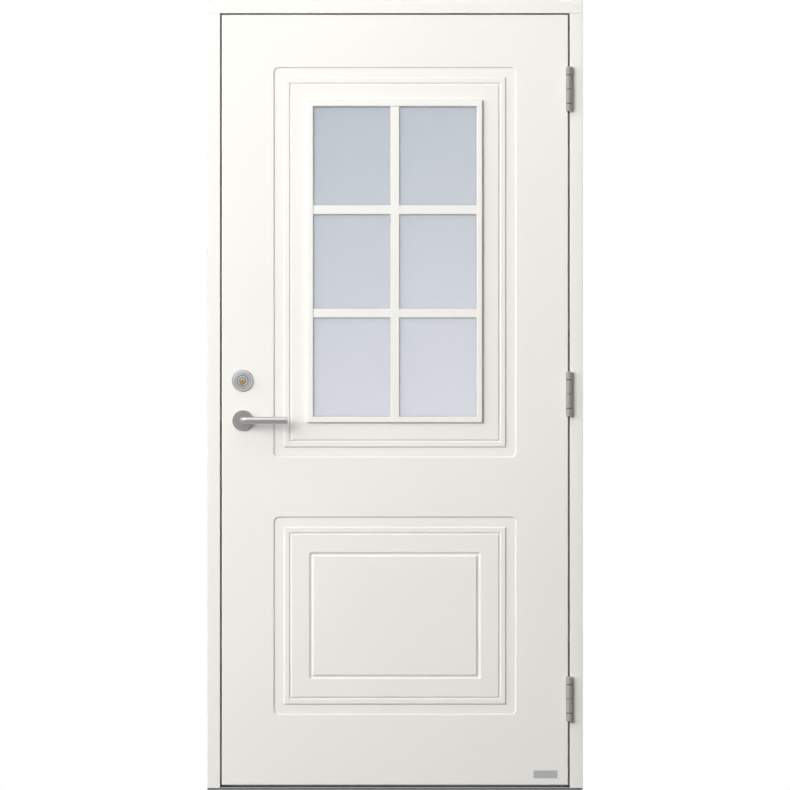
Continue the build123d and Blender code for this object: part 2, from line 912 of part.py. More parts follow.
def spacer(index):
    """The spacer bar that runs round behind one pane."""
    front = pane_front(index) + pane_thickness
    y = (front, front + spacer_gap)
    ring = block((-glass_width / 2, glass_width / 2), y,
                 (glazing_middle - glass_height / 2, glazing_middle + glass_height / 2))
    half = glass_width / 2 - spacer_width
    reach = glass_height / 2 - spacer_width
    return ring - block((-half, half), y, (glazing_middle - reach, glazing_middle + reach))


def setting_blocks():
    """The two blocks that the glass stands on."""
    bottom = glazing_middle - aperture_height / 2
    start = glass_width / 2 - setting_block_inset
    blocks = []
    for side in (-1, 1):
        ends = sorted((side * start, side * (start - setting_block_length)))
        blocks.append(block(ends, (core_front, core_back), (bottom, bottom + glass_clearance)))
    return blocks


def ring_prism(face_y, outward, outer, inner, height):
    """A flat rectangular ring, given as outer and inner width and height, raised from a depth."""
    plane = facing(face_y, outward)
    shape = rectangle(*outer, glazing_middle) - rectangle(*inner, glazing_middle)
    return extrude(plane * shape, height)


def make_glazing_frame(front):
    """The moulded frame that clamps the glass from one side: a raised rim and a leg in the aperture."""
    face_y = leaf_front if front else leaf_back
    outward = -1 if front else 1
    outer = (glazing_width, glazing_height)
    inner = (daylight_width, daylight_height)
    rim = ring_prism(face_y, outward, outer, inner, bead_height)
    top_y = face_y + outward * bead_height
    raised_edges = rim.edges().filter_by(lambda edge: abs(edge.center().Y - top_y) < 0.01)
    rim = fillet(raised_edges, bead_round)
    leg = (aperture_width - 2 * bead_clearance, aperture_height - 2 * bead_clearance)
    return rim + ring_prism(face_y, -outward, leg, inner, skin_thickness - bead_tape)


def make_glazing_seal(front):
    """The strip between the glazing frame's leg and the glass."""
    leg = (glass_width, glass_height)
    inner = (daylight_width, daylight_height)
    if front:
        return ring_prism(core_front - bead_tape, 1, leg, inner, bead_tape)
    return ring_prism(core_back + bead_tape, -1, leg, inner, bead_tape)


def muntin_centres(span, cells):
    """The middles of the bars, on even divisions of a span."""
    return [-span / 2 + i * span / cells for i in range(1, cells)]


def make_muntins(front):
    """The glazing bars on one side of the glass, as one grid."""
    glass_y = core_front if front else core_back
    face_y = leaf_front if front else leaf_back
    plane = facing(glass_y, -1 if front else 1)
    height = abs(face_y - glass_y) + muntin_height
    grid = Sketch()
    for x in muntin_centres(daylight_width, pane_columns):
        grid += Pos(x, glazing_middle) * Rectangle(muntin_width, daylight_height)
    for z in muntin_centres(daylight_height, pane_rows):
        grid += Pos(0, glazing_middle + z) * Rectangle(daylight_width, muntin_width)
    bars = extrude(plane * grid, height)
    top_y = glass_y + (-1 if front else 1) * height
    half = daylight_width / 2 - 0.01
    reach = daylight_height / 2 - 0.01

    def eased(edge):
        middle = edge.center()
        inside = abs(middle.X) < half and abs(middle.Z - glazing_middle) < reach
        return inside and abs(middle.Y - top_y) < 0.01

    return fillet(bars.edges().filter_by(eased), muntin_round)


# Handle

def lever_path(face_y, outward):
    """The middle line of a lever: out of the leaf, round a bend and along."""
    far = face_y + outward * handle_standoff
    end = handle_x + handle_reach
    return FilletPolyline((handle_x, face_y, handle_height), (handle_x, far, handle_height),
                          (end, far, handle_height), radius=handle_bend)


def make_lever(front):
    """A lever bent from round bar, with a square socket for the spindle."""
    face_y = leaf_front if front else leaf_back
    outward = -1 if front else 1
    start = Plane(origin=(handle_x, face_y, handle_height), z_dir=(0, outward, 0))
    lever = sweep(start * Circle(handle_bar_diameter / 2), path=lever_path(face_y, outward))
    lever = round_bar_end(lever, Axis.X, handle_end_round)
    return lever - make_spindle()


def make_spindle():
    """The square bar that joins both levers."""
    half = spindle_square / 2
    y = (leaf_front - spindle_engagement, leaf_back + spindle_engagement)
    return block((handle_x - half, handle_x + half), y, (handle_height - half, handle_height + half))


def rose_outline(bore, radius):
    """Half the section of a round plate with an eased front rim."""
    return [(bore, 0), (radius, 0), (radius, rose_thickness - rose_edge),
            (radius - rose_edge, rose_thickness), (bore, rose_thickness)]


def make_rose(front):
    """The round plate round a lever's neck."""
    face_y = leaf_front if front else leaf_back
    outward = -1 if front else 1
    radius = rose_diameter / 2
    bore = handle_bar_diameter / 2 + turning_clearance
    rose = turned(rose_outline(bore, radius), (handle_x, face_y, handle_height), (0, outward, 0))
    for screw in rose_screws():
        rose -= screw
    return rose


def make_follower():
    """The follower in the lock: a hub on the spindle with an arm that draws the latch."""
    y = case_y(case_wall + turning_clearance)
    hub = handle_rod(follower_diameter / 2, y) + handle_rod(follower_journal / 2, case_y())
    half = follower_arm_width / 2
    tip = handle_height + follower_arm
    arm_y = (leaf_middle - latch_tail_thickness / 2, leaf_middle + latch_tail_thickness / 2)
    arm = block((handle_x - half, handle_x + half), arm_y, (handle_height, tip))
    arm += rod(half, (handle_x, arm_y[0], tip), (handle_x, arm_y[1], tip))
    return hub + arm - make_spindle()


def make_latch_bolt():
    """The spring latch: a head bevelled towards the inside and a tail with the hook that the follower draws."""
    low, high = latch_zone()
    face = -leaf_half
    front = leaf_middle - latch_thickness / 2
    back = leaf_middle + latch_thickness / 2
    head_end = face + latch_head_length
    outline = [(head_end, front), (face - latch_throw, front), (face - latch_throw, front + latch_nose),
               (face - case_clearance, back), (head_end, back)]
    head = extrude(Pos(0, 0, low) * make_face(Polyline(*outline, close=True)), high - low)
    tail_low = handle_height + follower_arm + follower_arm_width / 2 + latch_tail_clearance
    hook_start = handle_x + follower_arm_width / 2 + turning_clearance
    tail_y = (leaf_middle - latch_tail_thickness / 2, leaf_middle + latch_tail_thickness / 2)
    tail = block((head_end, hook_start + latch_hook_length), tail_y, (tail_low, tail_low + latch_tail_height))
    hook = block((hook_start, hook_start + latch_hook_length), tail_y, (tail_low - latch_hook_drop, tail_low))
    return head + tail + hook


def make_deadbolt():
    """The deadbolt, drawn back: its head and a thin tail with the slot for the cam's pin."""
    low, high = bolt_zone()
    start = -leaf_half + bolt_setback
    head_end = start + bolt_head_length
    half = bolt_thickness / 2
    head = block((start, head_end), (leaf_middle - half, leaf_middle + half), (low, high))
    pin_x = handle_x + cam_arm_radius / 2 ** 0.5
    slot = cam_pin_diameter + cam_slot_play
    tail_top = key_z - bolt_tail_drop
    tail_y = (leaf_middle - bolt_tail_thickness / 2, leaf_middle + bolt_tail_thickness / 2)
    tail = block((head_end, pin_x + slot), tail_y, (tail_top - bolt_tail_height, tail_top))
    notch = block((pin_x - slot / 2, pin_x + slot / 2), tail_y, (tail_top - cam_slot_depth, tail_top))
    return head + (tail - notch)


def make_thumb_turn():
    """The thumb turn with its tailpiece and the cam that throws the deadbolt, as one turning piece."""
    knob_base = leaf_back + rose_thickness
    centre = (handle_x, knob_base + turning_clearance, key_z)
    plane = Plane(origin=centre, x_dir=(-1, 0, 0), z_dir=(0, 1, 0))
    knob = extrude(plane * SlotOverall(turn_length, turn_width, rotation=90), turn_height)
    knob = fillet(knob.faces().sort_by(Axis.Y)[-1].edges(), rose_edge)
    neck = rod(turn_neck_diameter / 2, (handle_x, case_y()[1], key_z), centre)
    hub_y = case_y()
    hub = rod(cam_hub_diameter / 2, (handle_x, hub_y[0], key_z), (handle_x, hub_y[1], key_z))
    return knob + neck + hub + make_cam_arm()


def make_cam_arm():
    """The cam's arm beside the deadbolt's tail, and its pin in the slot."""
    reach = cam_arm_radius / 2 ** 0.5
    arm_front = leaf_middle + bolt_tail_thickness / 2 + turning_clearance
    pin_x = handle_x + reach
    pin_z = key_z - reach
    plane = Plane(origin=(handle_x + reach / 2, arm_front, key_z - reach / 2),
                  x_dir=(1, 0, -1), z_dir=(0, 1, 0))
    arm = extrude(plane * SlotOverall(cam_arm_radius + cam_pin_diameter, cam_pin_diameter), cam_arm_thickness)
    pin_front = leaf_middle - bolt_tail_thickness / 2
    pin = rod(cam_pin_diameter / 2, (pin_x, pin_front, pin_z), (pin_x, arm_front, pin_z))
    return arm + pin


# Cylinder

def plug_bore(y, clearance):
    """The key plug's round between two depths."""
    return rod(plug_diameter / 2 + clearance, (handle_x, y[0], key_z), (handle_x, y[1], key_z))


def make_cylinder_ring():
    """The bevelled ring round the lock cylinder."""
    radius = ring_diameter / 2
    rim = ring_rim_diameter / 2
    outline = [(0, 0), (radius, 0), (radius, ring_base_height), (rim, ring_height), (0, ring_height)]
    ring = turned(outline, (handle_x, leaf_front, cylinder_z), (0, -1, 0))
    return ring - cylinder_slot((leaf_front - ring_height, leaf_front), cylinder_fit)


def make_cylinder_body():
    """The oval cylinder body with a bore for the key plug."""
    front = leaf_front - ring_height + cylinder_recess
    back = leaf_middle - case_thickness / 2
    body = cylinder_slot((front, back), 0)
    body -= plug_bore((front, front + plug_length), plug_fit)
    body -= rod(plug_tail_diameter / 2 + turning_clearance, (handle_x, front, key_z), (handle_x, back, key_z))
    for screw in cylinder_screws():
        body -= screw
    return body


def make_key_plug():
    """The key plug at rest, with the slot for a key and the tail that drives the cam."""
    front = leaf_front - ring_height + cylinder_recess
    plug = plug_bore((front - plug_proud, front + plug_length), 0)
    tail_end = leaf_middle - case_thickness / 2 - turning_clearance
    plug += rod(plug_tail_diameter / 2, (handle_x, front + plug_length, key_z), (handle_x, tail_end, key_z))
    half = keyway_width / 2
    reach = keyway_height / 2
    return plug - block((handle_x - half, handle_x + half), (front - plug_proud, front + keyway_depth),
                        (key_z - reach, key_z + reach))


def make_turn_rose():
    """The round plate round the thumb turn's neck."""
    radius = turn_rose_diameter / 2
    bore = turn_neck_diameter / 2 + turning_clearance
    rose = turned(rose_outline(bore, radius), (handle_x, leaf_back, key_z), (0, 1, 0))
    for screw in cylinder_screws():
        rose -= screw
    return rose


def build():
    """Every named piece of the door."""
    seal = seal_ring()
    screws = corner_screws()
    head = make_frame_head()
    lock_jamb = make_lock_jamb()
    hinge_jamb = make_hinge_jamb()
    sill_base = make_sill_base() - seal
    sill_plate = make_sill_plate() - seal
    for screw in screws:
        head -= screw
        lock_jamb -= screw
        hinge_jamb -= screw
        sill_base -= screw
    pieces = {
        "frame_head": head,
        "lock_jamb": lock_jamb,
        "hinge_jamb": hinge_jamb,
        "frame_stops": group(stop - seal for stop in frame_stops()),
        "sill_base": sill_base,
        "sill_plate": sill_plate,
        "frame_seal": seal,
        "corner_screws": group(screws),
        "fixing_sleeves": group(fixing_sleeves()),
        "strike_plate": make_strike_plate(),
        "strike_box": make_strike_box(),
        "strike_screws": group(strike_screws()),
        "outer_skin": make_outer_skin(),
        "inner_skin": make_inner_skin(),
        "lock_stile": make_lock_stile(),
        "hinge_stile": make_hinge_stile(),
        "top_rail": rail(leaf_top - top_rail_height, leaf_top),
        "bottom_rail": rail(leaf_bottom, leaf_bottom + bottom_rail_height),
        "light_rails": group(light_rails()),
        "light_stiles": group(light_stiles()),
        "insulation_core": make_insulation_core(),
        "outer_pane": pane(pane_front(0)),
        "middle_pane": pane(pane_front(1)),
        "inner_pane": pane(pane_front(2)),
        "glass_spacers": group([spacer(0), spacer(1)]),
        "setting_blocks": group(setting_blocks()),
        "outer_glazing_frame": make_glazing_frame(True),
        "inner_glazing_frame": make_glazing_frame(False),
        "outer_muntins": make_muntins(True),
        "inner_muntins": make_muntins(False),
        "outer_glazing_seal": make_glazing_seal(True),
        "inner_glazing_seal": make_glazing_seal(False),
        "lock_case": make_lock_case(),
        "forend": make_forend(),
        "forend_screws": group(forend_screws()),
        "outer_rose": make_rose(True),
        "inner_rose": make_rose(False),
        "rose_screws": group(rose_screws()),
        "cylinder_ring": make_cylinder_ring(),
        "cylinder_body": make_cylinder_body(),
        "thumb_turn_rose": make_turn_rose(),
        "cylinder_screws": group(cylinder_screws()),
        "outer_lever": make_lever(True),
        "inner_lever": make_lever(False),
        "spindle": make_spindle(),
        "follower": make_follower(),
        "latch_bolt": make_latch_bolt(),
        "deadbolt": make_deadbolt(),
        "key_plug": make_key_plug(),
        "thumb_turn": make_thumb_turn(),
        "hinge_leaf_halves": group(hinge_half(-1, middle) for middle in hinge_heights()),
        "hinge_frame_halves": group(hinge_half(1, middle) for middle in hinge_heights()),
        "hinge_pins": group(hinge_pin(middle) for middle in hinge_heights()),
        "hinge_washers": group(hinge_washer(middle) for middle in hinge_heights()),
        "hinge_top_caps": group(hinge_cap(middle, 1) for middle in hinge_heights()),
        "hinge_bottom_caps": group(hinge_cap(middle, -1) for middle in hinge_heights()),
        "leaf_hinge_screws": group(screw for middle in hinge_heights() for screw in hinge_screws(-1, middle)),
        "frame_hinge_screws": group(screw for middle in hinge_heights() for screw in hinge_screws(1, middle)),
    }
    return pieces


os.makedirs("parts", exist_ok=True)
for name, shape in build().items():
    export_step(shape, f"parts/{name}.step")
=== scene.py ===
"""A white panelled front door in its frame, photographed straight on in a bright studio."""
import math

import bmesh
import bpy
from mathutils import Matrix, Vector


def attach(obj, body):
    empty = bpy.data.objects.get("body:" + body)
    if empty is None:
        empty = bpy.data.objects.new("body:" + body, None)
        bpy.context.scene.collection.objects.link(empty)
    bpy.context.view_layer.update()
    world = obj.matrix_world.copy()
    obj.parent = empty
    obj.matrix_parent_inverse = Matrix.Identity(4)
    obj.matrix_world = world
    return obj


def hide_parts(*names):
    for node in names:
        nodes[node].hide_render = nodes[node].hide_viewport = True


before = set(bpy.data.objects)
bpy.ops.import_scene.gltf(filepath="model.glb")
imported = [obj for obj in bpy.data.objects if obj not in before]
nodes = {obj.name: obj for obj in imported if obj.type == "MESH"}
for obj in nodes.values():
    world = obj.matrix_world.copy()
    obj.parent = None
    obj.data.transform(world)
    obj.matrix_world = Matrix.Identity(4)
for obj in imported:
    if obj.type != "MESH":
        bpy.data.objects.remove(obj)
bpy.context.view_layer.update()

MM = 0.001

# Camera: a very long lens, square to the door, in millimetres, and the width and middle height of what it
# sees at the frame's front, in metres
LENS = 500.0
SENSOR = 36.0
VIEW_WIDTH = 2.0840
VIEW_MIDDLE = 1.04905
FRAME_FRONT = -0.0525

# Studio lamps, with places and sizes in metres and power in watts: one at the left that does most of the
# work, one far to the left that grazes the door, and one overhead
SOFTBOXES = [
    ("side_softbox", (-3.5, -5.9, 2.65), (4.2, 3.4), 400.0),
    ("edge_softbox", (-8.6, -3.9, 3.6), (3.6, 4.6), 300.0),
    ("top_softbox", (-0.6, -2.6, 4.2), (3.0, 2.0), 43.0),
]
SOFTBOX_AIM = (0.0, 0.0, 1.2)
SOFTBOX_COLOUR = (1.0, 0.98, 0.955)

# The room's own light on the door: dim from the front, and from behind shaded on one side and bright on the
# other. Then the way to that bright side, and how far back a way points where front turns into behind.
FRONT_LIGHT = 0.11
BACK_SHADE = 0.5
BACK_LIGHT = 1.35
BACK_LIGHT_WAY = (0.5, 0.55, 0.67)
FRONT_TURNS_BACK = (-0.05, 0.25)

# What glossy faces mirror: the room's level, its slope to the front left, and a bright patch at the upper left
MIRROR_LEVEL = 0.62
MIRROR_SLOPE = (-0.22, -0.08, 0.0)
MIRROR_PATCH = 1.8
MIRROR_PATCH_WAY = (-0.45, -0.35, 0.82)
MIRROR_PATCH_EDGE = (0.5, 0.95)

# Floor: half its width, and the glow that lifts it to white. It turns plain white further out, and nearer by
# where it is both beside and behind the door, over these distances from its middle in metres.
FLOOR_HALF = 6.0
FLOOR_LIFT = 0.15
FLOOR_FADES_OUT = (0.7, 1.9)
FLOOR_FADES_BESIDE = (0.25, 0.5)
FLOOR_FADES_BEHIND = (-0.1, 0.1)

# The outer pane's painted light: its colour is mixed lighter from its upper left to its lower right
GLASS_PAINTED_LIGHT_WAY = (0.45, 0.0, -1.0)
GLASS_TOP = -1.92
GLASS_FOOT = -0.88

# The leaf's two faces
LEAF_FRONT = -0.0515
LEAF_BACK = 0.0105

# The blank plate low on the leaf
PLATE_MIDDLE = (0.397, 0.0485)
PLATE_SIZE = (0.063, 0.021)
PLATE_THICKNESS = 0.0007
PLATE_EASE = 0.00028
PLATE_CORNER = 0.0012
CORNER_STEPS = 8

# The glazing frames' width, height and foot, and the section of the thin grey strip round each, which paints a
# fine line of shade at the frame's edge
GLAZING_WIDTH = 0.462
GLAZING_HEIGHT = 0.85
GLAZING_FOOT = 0.976
SHADE_LINE_WIDTH = 0.0012
SHADE_LINE_HEIGHT = 0.0005
SHADE_LINE_EASE = 0.00036

# How far the plate's and the shade strips' sides run straight before the edge is eased, over their whole
# height
STRAIGHT_SHARE = 0.6

# Hinges, in millimetres: the axis, the middles' heights, the screws' pitch, how far the dark rings of painted
# shade lie above and below a middle, and the rings' profile of height and radius
HINGE_AXIS = (459.0, -61.5)
HINGE_MIDDLES = (247.5, 1051.65, 1855.8)
HINGE_SCREW_PITCH = 38.0
SHADE_RING_RISE = 37.7
SHADE_RING_PROFILE = ((-0.65, 7.2), (-0.55, 8.2), (0.55, 8.2), (0.65, 7.2))
SHADE_RING_SIDES = 48

# The middle of the lock cylinder in metres, and the pitch and depth of its turned steps in millimetres. The
# pitch also spaces the painted light and dark reflection rings on them.
CYLINDER_MIDDLE = (-0.402, 0.0, 1.087)
STEP_AND_PAINTED_RING_PITCH = 6.5
TURNED_DEPTH = 0.35

# Screws: diameters in millimetres
WOOD_SCREW = 4.0
CORNER_SCREW = 6.0
ROSE_SCREW = 5.0
# The head: its radius over the shank's, the neck's depth over the diameter, and the straight rim's over that
HEAD_SHARE = 2.1
NECK_DEPTH_SHARE = 0.575
HEAD_RIM_SHARE = 0.1
# The recess: its depth over the diameter, its radius over the head's, its floor's over its own, and its lobes
# with how far they stand in and out
RECESS_DEPTH_SHARE = 0.3
RECESS_SHARE = 0.62
RECESS_FLOOR_SHARE = 0.8
RECESS_LOBES = 6
LOBE_SHARE = 0.12
# The radii of the neck, of the thread's root and of the tip over the shank's
NECK_SHARE = 0.85
ROOT_SHARE = 0.75
TIP_SHARE = 0.15
SCREW_SIDES = 36


def linear(hex_code):
    """An sRGB hex colour as linear red, green, blue and alpha."""
    channels = [int(hex_code[i:i + 2], 16) / 255 for i in (1, 3, 5)]
    values = [c / 12.92 if c <= 0.04045 else ((c + 0.055) / 1.055) ** 2.4 for c in channels]
    return (*values, 1.0)


def add(tree, kind, links=None, **settings):
    """One shader node, with its settings, and its inputs set or linked by name or number."""
    made = tree.nodes.new(kind)
    for name, value in settings.items():
        setattr(made, name, value)
    for socket, source in (links or {}).items():
        if isinstance(source, bpy.types.NodeSocket):
            tree.links.new(source, made.inputs[socket])
        else:
            made.inputs[socket].default_value = source
    return made


def start_material(name):
    """An empty material and the place on the piece in metres."""
    material = bpy.data.materials.new(name)
    material.use_nodes = True
    tree = material.node_tree
    tree.nodes.clear()
    place = add(tree, "ShaderNodeTexCoord").outputs["Object"]
    return material, tree, place


# Finishes. A colour mix takes its share at socket 0 and its colours at 6 and 7, and gives output 2.

def sprayed_paint(name, thin, thick, roughness, peel_depth):
    """Factory-sprayed acrylic paint: an even warm white whose faint orange peel softens its sheen."""
    material, tree, place = start_material(name)
    # Slow changes of coat thickness, as wide as a spray gun's pass
    clouds = add(tree, "ShaderNodeTexNoise", {"Vector": place, "Scale": 1 / (350 * MM), "Detail": 2.0})
    tint = add(tree, "ShaderNodeMix", {0: clouds.outputs["Fac"], 6: linear(thin), 7: linear(thick)},
               data_type="RGBA")
    patches = add(tree, "ShaderNodeTexNoise", {"Vector": place, "Scale": 1 / (40 * MM), "Detail": 2.0})
    gloss = add(tree, "ShaderNodeMapRange",
                {"Value": patches.outputs["Fac"], "To Min": roughness - 0.05, "To Max": roughness + 0.05})
    # Orange peel is 1 to 2 mm wide, drawn 2.5 mm wide so that it shows
    peel = add(tree, "ShaderNodeTexNoise", {"Vector": place, "Scale": 1 / (2.5 * MM), "Detail": 1.0})
    # Sanding has rounded every edge under the paint
    eased = add(tree, "ShaderNodeBevel", {"Radius": 3.2 * MM}, samples=4)
    bump = add(tree, "ShaderNodeBump",
               {"Height": peel.outputs["Fac"], "Distance": peel_depth, "Normal": eased.outputs["Normal"]})
    shader = add(tree, "ShaderNodeBsdfPrincipled",
                 {"Base Color": tint.outputs[2], "Roughness": gloss.outputs["Result"], "IOR": 1.5,
                  "Normal": bump.outputs["Normal"]})
    add(tree, "ShaderNodeOutputMaterial", {"Surface": shader.outputs["BSDF"]})
    return material


def painted_pine(name, thin, thick):
    """Pine under two brushed coats of grey paint: the grain still shows as long shallow lines."""
    material, tree, place = start_material(name)
    # Grain lines about 2 mm apart that run on for a hand's width
    along = add(tree, "ShaderNodeMapping",
                {"Vector": place, "Scale": (1 / (120 * MM), 1 / (2 * MM), 1 / (2 * MM))})
    grain = add(tree, "ShaderNodeTexNoise", {"Vector": along.outputs["Vector"], "Scale": 1.0, "Detail": 3.0})
    tint = add(tree, "ShaderNodeMix", {0: grain.outputs["Fac"], 6: linear(thin), 7: linear(thick)},
               data_type="RGBA")
    gloss = add(tree, "ShaderNodeMapRange", {"Value": grain.outputs["Fac"], "To Min": 0.42, "To Max": 0.58})
    bump = add(tree, "ShaderNodeBump", {"Height": grain.outputs["Fac"], "Distance": 0.06 * MM})
    shader = add(tree, "ShaderNodeBsdfPrincipled",
                 {"Base Color": tint.outputs[2], "Roughness": gloss.outputs["Result"], "IOR": 1.5,
                  "Normal": bump.outputs["Normal"]})
    add(tree, "ShaderNodeOutputMaterial", {"Surface": shader.outputs["BSDF"]})
    return material


def brushed_metal(name, dark, light, roughness, line_length, line_width, along_axis):
    """Metal brushed or ground along one way: fine lines that stretch and soften its highlights."""
    material, tree, place = start_material(name)
    # Real brushing is 0.1 mm wide; the widths given are as fine as shows
    scale = [1 / (line_width * MM)] * 3
    scale[along_axis] = 1 / (line_length * MM)
    along = add(tree, "ShaderNodeMapping", {"Vector": place, "Scale": scale})
    lines = add(tree, "ShaderNodeTexNoise", {"Vector": along.outputs["Vector"], "Scale": 1.0, "Detail": 3.0})
    tint = add(tree, "ShaderNodeMix", {0: lines.outputs["Fac"], 6: linear(dark), 7: linear(light)},
               data_type="RGBA")
    gloss = add(tree, "ShaderNodeMapRange",
                {"Value": lines.outputs["Fac"], "To Min": roughness - 0.06, "To Max": roughness + 0.06})
    bump = add(tree, "ShaderNodeBump",
               {"Height": lines.outputs["Fac"], "Distance": 0.01 * MM, "Strength": 0.5})
    shader = add(tree, "ShaderNodeBsdfPrincipled",
                 {"Base Color": tint.outputs[2], "Metallic": 1.0, "Roughness": gloss.outputs["Result"],
                  "Normal": bump.outputs["Normal"]})
    add(tree, "ShaderNodeOutputMaterial", {"Surface": shader.outputs["BSDF"]})
    return material


def polished_brass(name, dark, light, roughness):
    """Polished brass: a soft yellow mirror with a faint haze from hands and keys."""
    material, tree, place = start_material(name)
    haze = add(tree, "ShaderNodeTexNoise", {"Vector": place, "Scale": 1 / (9 * MM), "Detail": 4.0})
    tint = add(tree, "ShaderNodeMix", {0: haze.outputs["Fac"], 6: linear(dark), 7: linear(light)},
               data_type="RGBA")
    gloss = add(tree, "ShaderNodeMapRange",
                {"Value": haze.outputs["Fac"], "To Min": roughness * 0.6, "To Max": roughness * 1.4})
    shader = add(tree, "ShaderNodeBsdfPrincipled",
                 {"Base Color": tint.outputs[2], "Metallic": 1.0, "Roughness": gloss.outputs["Result"]})
    add(tree, "ShaderNodeOutputMaterial", {"Surface": shader.outputs["BSDF"]})
    return material


def chrome_with_painted_rings(name, dark, light, roughness):
    """Turned, chromed brass: polished steps round the lock cylinder, with painted reflections bright and dark
    by turns.
    """
    material, tree, place = start_material(name)
    offset = add(tree, "ShaderNodeVectorMath", {0: place, 1: CYLINDER_MIDDLE}, operation="SUBTRACT")
    flat = add(tree, "ShaderNodeVectorMath", {0: offset.outputs["Vector"], 1: (1.0, 0.0, 1.0)},
               operation="MULTIPLY")
    reach = add(tree, "ShaderNodeVectorMath", {0: flat.outputs["Vector"]}, operation="LENGTH")
    turns = add(tree, "ShaderNodeMath", {0: reach.outputs["Value"], 1: 2 * math.pi / (STEP_AND_PAINTED_RING_PITCH * MM)},
                operation="MULTIPLY")
    wave = add(tree, "ShaderNodeMath", {0: turns.outputs["Value"]}, operation="SINE")
    steps = add(tree, "ShaderNodeMapRange",
                {"Value": wave.outputs["Value"], "From Min": -1.0, "From Max": 1.0})
    # Painted reflections: the colour turns light and dark ring by ring over the turned steps
    tint = add(tree, "ShaderNodeMix", {0: steps.outputs["Result"], 6: linear(light), 7: linear(dark)},
               data_type="RGBA")
    haze = add(tree, "ShaderNodeTexNoise", {"Vector": place, "Scale": 1 / (9 * MM), "Detail": 4.0})
    gloss = add(tree, "ShaderNodeMapRange",
                {"Value": haze.outputs["Fac"], "To Min": roughness * 0.6, "To Max": roughness * 1.4})
    bump = add(tree, "ShaderNodeBump", {"Height": steps.outputs["Result"], "Distance": TURNED_DEPTH * MM})
    shader = add(tree, "ShaderNodeBsdfPrincipled",
                 {"Base Color": tint.outputs[2], "Metallic": 1.0, "Roughness": gloss.outputs["Result"],
                  "Normal": bump.outputs["Normal"]})
    add(tree, "ShaderNodeOutputMaterial", {"Surface": shader.outputs["BSDF"]})
    return material


def zinc_plated(name, dark, light):
    """Zinc-plated steel: bright grey with small uneven crystals and a dull bloom between them."""
    material, tree, place = start_material(name)
    crystals = add(tree, "ShaderNodeTexVoronoi", {"Vector": place, "Scale": 1 / (1.5 * MM)})
    bloom = add(tree, "ShaderNodeTexNoise", {"Vector": place, "Scale": 1 / (6 * MM), "Detail": 3.0})
    tint = add(tree, "ShaderNodeMix", {0: crystals.outputs["Distance"], 6: linear(light), 7: linear(dark)},
               data_type="RGBA")
    gloss = add(tree, "ShaderNodeMapRange", {"Value": bloom.outputs["Fac"], "To Min": 0.3, "To Max": 0.5})
    bump = add(tree, "ShaderNodeBump", {"Height": crystals.outputs["Distance"], "Distance": 0.01 * MM})
    shader = add(tree, "ShaderNodeBsdfPrincipled",
                 {"Base Color": tint.outputs[2], "Metallic": 1.0, "Roughness": gloss.outputs["Result"],
                  "Normal": bump.outputs["Normal"]})
    add(tree, "ShaderNodeOutputMaterial", {"Surface": shader.outputs["BSDF"]})
    return material


def moulded_plastic(name, dark, light, roughness, grit_size, grit_depth, ior):
    """Moulded plastic or rubber, dyed right through: a fine even grit from its tool dulls its sheen."""
    material, tree, place = start_material(name)
    flow = add(tree, "ShaderNodeTexNoise", {"Vector": place, "Scale": 1 / (60 * MM), "Detail": 2.0})
    tint = add(tree, "ShaderNodeMix", {0: flow.outputs["Fac"], 6: linear(dark), 7: linear(light)},
               data_type="RGBA")
    grit = add(tree, "ShaderNodeTexNoise", {"Vector": place, "Scale": 1 / grit_size, "Detail": 2.0})
    gloss = add(tree, "ShaderNodeMapRange",
                {"Value": grit.outputs["Fac"], "To Min": roughness - 0.05, "To Max": roughness + 0.05})
    # A mould leaves every edge slightly round
    eased = add(tree, "ShaderNodeBevel", {"Radius": 0.8 * MM}, samples=4)
    bump = add(tree, "ShaderNodeBump",
               {"Height": grit.outputs["Fac"], "Distance": grit_depth, "Normal": eased.outputs["Normal"]})
    shader = add(tree, "ShaderNodeBsdfPrincipled",
                 {"Base Color": tint.outputs[2], "Roughness": gloss.outputs["Result"], "IOR": ior,
                  "Normal": bump.outputs["Normal"]})
    add(tree, "ShaderNodeOutputMaterial", {"Surface": shader.outputs["BSDF"]})
    return material


def planed_pine(name):
    """Planed pine: pale yellow wood with darker lines of late growth along its length."""
    material, tree, place = start_material(name)
    along = add(tree, "ShaderNodeMapping",
                {"Vector": place, "Scale": (1 / (5 * MM), 1 / (5 * MM), 1 / (200 * MM))})
    rings = add(tree, "ShaderNodeTexWave",
                {"Vector": along.outputs["Vector"], "Scale": 0.3, "Distortion": 3.0, "Detail": 3.0})
    tint = add(tree, "ShaderNodeMix", {0: rings.outputs["Fac"], 6: linear("#dcba88"), 7: linear("#bd915e")},
               data_type="RGBA")
    gloss = add(tree, "ShaderNodeMapRange", {"Value": rings.outputs["Fac"], "To Min": 0.58, "To Max": 0.68})
    bump = add(tree, "ShaderNodeBump", {"Height": rings.outputs["Fac"], "Distance": 0.1 * MM})
    shader = add(tree, "ShaderNodeBsdfPrincipled",
                 {"Base Color": tint.outputs[2], "Roughness": gloss.outputs["Result"], "IOR": 1.5,
                  "Normal": bump.outputs["Normal"]})
    add(tree, "ShaderNodeOutputMaterial", {"Surface": shader.outputs["BSDF"]})
    return material


